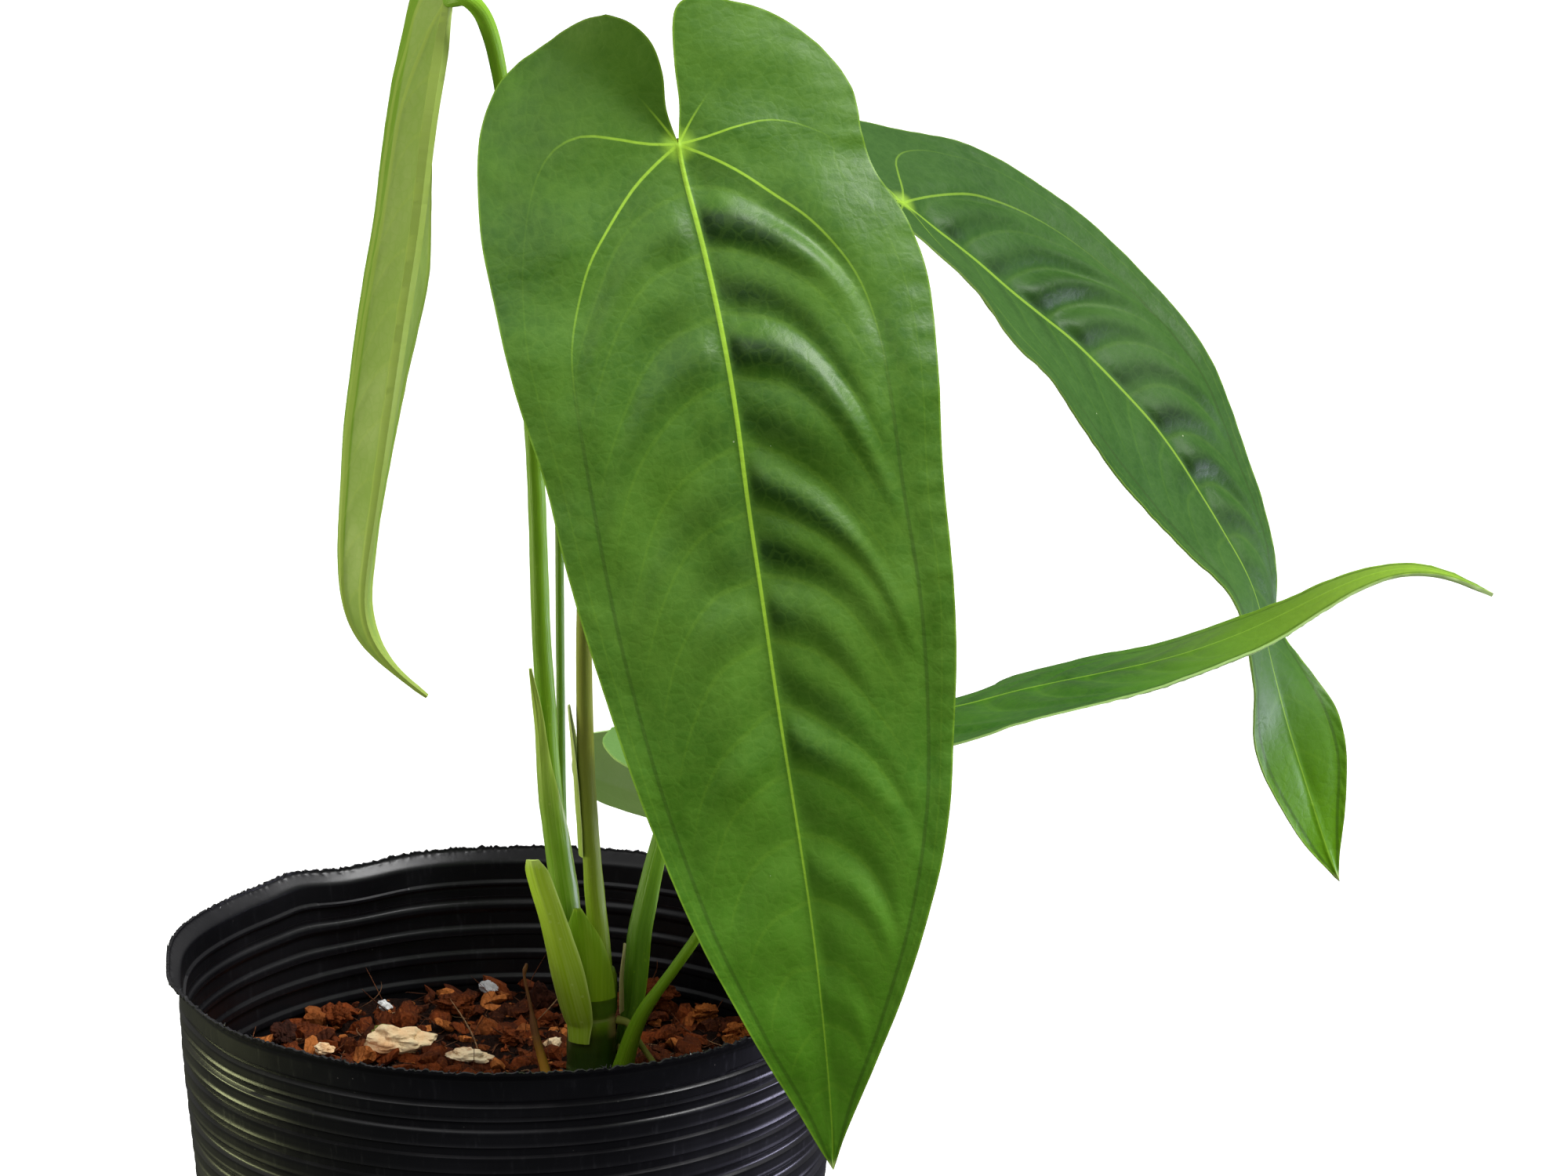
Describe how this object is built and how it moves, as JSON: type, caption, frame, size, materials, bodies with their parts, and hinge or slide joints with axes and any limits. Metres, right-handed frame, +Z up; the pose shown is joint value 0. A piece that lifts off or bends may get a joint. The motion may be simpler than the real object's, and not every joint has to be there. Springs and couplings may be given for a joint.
{
  "type": "potted anthurium",
  "caption": "Young long-leaved anthurium with heart-based, pointed leaves on slender stalks, in a thin ribbed round nursery pot of husk mix with limestone pieces.",
  "frame": {"origin": "centre of the pot's flat bottom, at its underside", "axes": "+Z up; -Y is the side that the large front leaf hangs on; +X is towards the two leaves that reach out sideways"},
  "size_m": [0.2821, 0.1649, 0.3542],
  "materials": {
    "pot_plastic": "satin",
    "mix": "matte",
    "leaf_green": "satin",
    "leaf_rear": "satin",
    "leaf_young": "matte",
    "stem_green": "satin",
    "petiole_olive": "satin",
    "petiole_green": "satin",
    "sheath_green": "satin",
    "sheath_pale": "satin",
    "sheath_dark": "satin",
    "sheath_dry": "matte",
    "root_yellow": "matte",
    "root_orange": "matte",
    "limestone": "rough",
    "limestone_yellow": "rough",
    "perlite": "rough",
    "perlite_grey": "rough",
    "husk_red": "matte",
    "husk_dark": "matte",
    "husk_orange": "matte"
  },
  "bodies": {
    "root": {"aerial_root_long": "root_yellow", "aerial_root_short": "root_yellow", "blade_front": "leaf_green", "blade_left": "leaf_young", "blade_rear": "leaf_rear", "blade_right": "leaf_green", "cataphyll_inner": "sheath_pale", "cataphyll_left": "sheath_pale", "cataphyll_on_left_petiole": "sheath_green", "cataphyll_small": "sheath_dry", "cataphyll_tall": "sheath_dark", "dry_root": "root_orange", "husk_chip_front": "husk_dark", "husk_chip_front_left": "husk_red", "husk_chip_front_right": "husk_orange", "husk_chip_left": "husk_dark", "husk_chip_middle": "husk_red", "husk_chip_orange": "husk_orange", "husk_chip_rear_left": "husk_red", "husk_chip_rear_middle": "husk_red", "husk_chip_rear_right": "husk_red", "husk_chip_right": "husk_orange", "husk_chip_upright": "husk_dark", "limestone_by_stem": "limestone", "limestone_front": "limestone", "limestone_large": "limestone", "limestone_small": "limestone", "limestone_yellow": "limestone_yellow", "perlite_grey": "perlite_grey", "perlite_white": "perlite", "petiole_front": "petiole_olive", "petiole_left": "petiole_green", "petiole_rear": "petiole_green", "petiole_right": "petiole_green", "pot": "pot_plastic", "potting_mix": "mix", "sheath_at_stem_tip": "sheath_green", "stem": "stem_green"}
  },
  "joints": []
}
